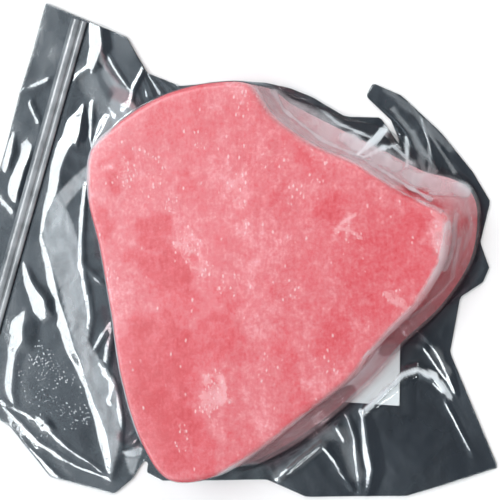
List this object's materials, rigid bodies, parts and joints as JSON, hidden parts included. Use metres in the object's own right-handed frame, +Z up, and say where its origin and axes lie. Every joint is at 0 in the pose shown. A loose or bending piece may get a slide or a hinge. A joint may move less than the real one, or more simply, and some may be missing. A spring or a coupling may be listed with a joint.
{
  "type": "raw tuna steak in a vacuum pouch",
  "caption": "Frozen raw tuna steak, a thick slab with a rounded rim, sealed in a clear and black vacuum pouch with crumpled ears.",
  "frame": {"origin": "middle of the base of the whole part's box", "axes": "+X along the pouch's longest side, from the zip track to the steak's pointed corner; +Z up out of the top face"},
  "size_m": [0.226, 0.19, 0.0258],
  "materials": {
    "flesh": "raw tuna flesh, salmon pink with pale frost flecks and fine grain, matt under the film",
    "clear_film": "thin clear pouch film, glossy, with soft creases and a whitish haze where it leaves the flesh",
    "black_film": "thin black back film, glossy and crumpled",
    "absorbent_pad": "white absorbent pad, matt",
    "zip_plastic": "translucent ribbed zip strip on the film, glossy"
  },
  "bodies": {
    "root": {"steak": "flesh", "front_film": "clear_film", "back_film": "black_film", "pad": "absorbent_pad", "zip_track": "zip_plastic"}
  },
  "joints": []
}
